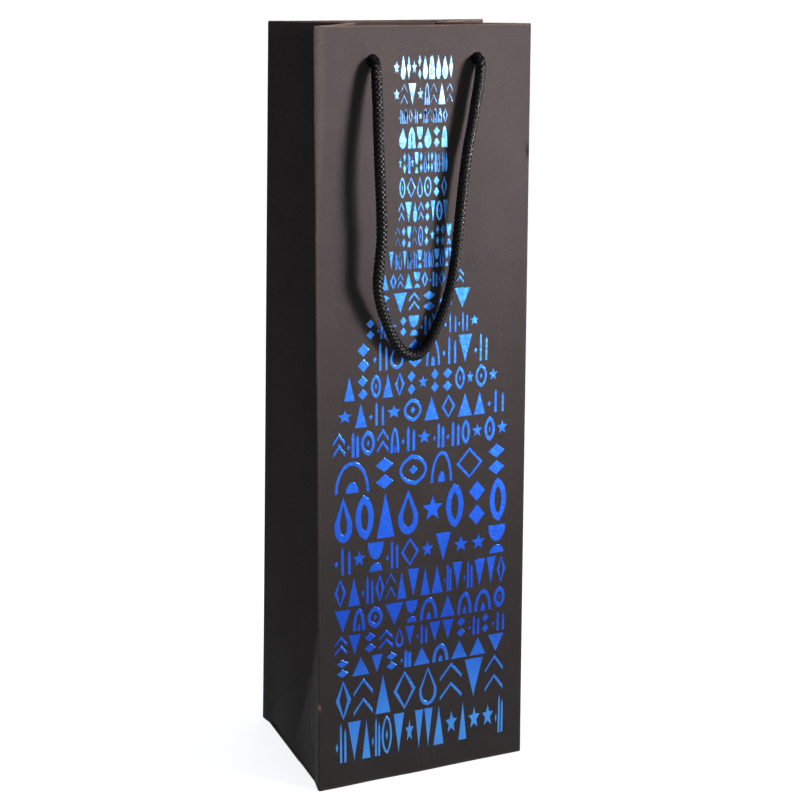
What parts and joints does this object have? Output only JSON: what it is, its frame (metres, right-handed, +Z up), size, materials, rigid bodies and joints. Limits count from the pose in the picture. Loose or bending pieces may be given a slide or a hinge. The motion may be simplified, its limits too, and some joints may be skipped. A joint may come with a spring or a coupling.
{
  "type": "bottle gift bag",
  "caption": "Tall black paper gift bag for a wine bottle, half-folded side gussets, turned-in top edge, knotted rope handles that swing, a mouth that pulls open, and blue foil ornament",
  "frame": {"origin": "middle of the base, on the ground", "axes": "+Z up, -Y towards the printed front, +X to the right of the front"},
  "size_m": [0.109, 0.1014, 0.36],
  "materials": {
    "paper": "matt coated black paper",
    "card": "grey-brown card",
    "foil": "blue metallised stamping film",
    "cord": "black braided cord"
  },
  "bodies": {
    "bag": {"front_panel": "paper", "left_gusset_front_half": "paper", "left_gusset_rear_half": "paper", "right_gusset_front_half": "paper", "right_gusset_rear_half": "paper", "front_hem": "paper", "left_hem_front_half": "paper", "left_hem_rear_half": "paper", "right_hem_front_half": "paper", "right_hem_rear_half": "paper", "front_handle_card": "card", "front_bottom_flap": "paper", "back_bottom_flap": "paper", "left_bottom_tuck": "paper", "right_bottom_tuck": "paper", "base_card": "card", "front_foil_print": "foil", "front_left_knot": "cord", "front_right_knot": "cord"},
    "back_wall": {"back_panel": "paper", "side_seam_flap": "paper", "back_hem": "paper", "back_handle_card": "card", "back_foil_print": "foil", "back_left_knot": "cord", "back_right_knot": "cord"},
    "front_handle": {"front_handle_cord": "cord"},
    "back_handle": {"back_handle_cord": "cord"}
  },
  "joints": [
    {"name": "mouth_opening", "type": "hinge", "parent": "bag", "child": "back_wall", "pos_m": [0, 0.044, 0], "axis": [-1, 0, 0], "range_deg": [0, 5], "stiffness_Nm_per_rad": 0.5, "deforming": ["left_gusset_front_half", "left_gusset_rear_half", "right_gusset_front_half", "right_gusset_rear_half", "left_hem_front_half", "left_hem_rear_half", "right_hem_front_half", "right_hem_rear_half"]},
    {"name": "front_handle_swing", "type": "hinge", "parent": "bag", "child": "front_handle", "pos_m": [0, -0.0495, 0.345], "axis": [-1, 0, 0], "range_deg": [0, 175]},
    {"name": "back_handle_swing", "type": "hinge", "parent": "back_wall", "child": "back_handle", "pos_m": [0, 0.01881, 0.34412], "axis": [1, 0, 0], "range_deg": [0, 175]}
  ]
}
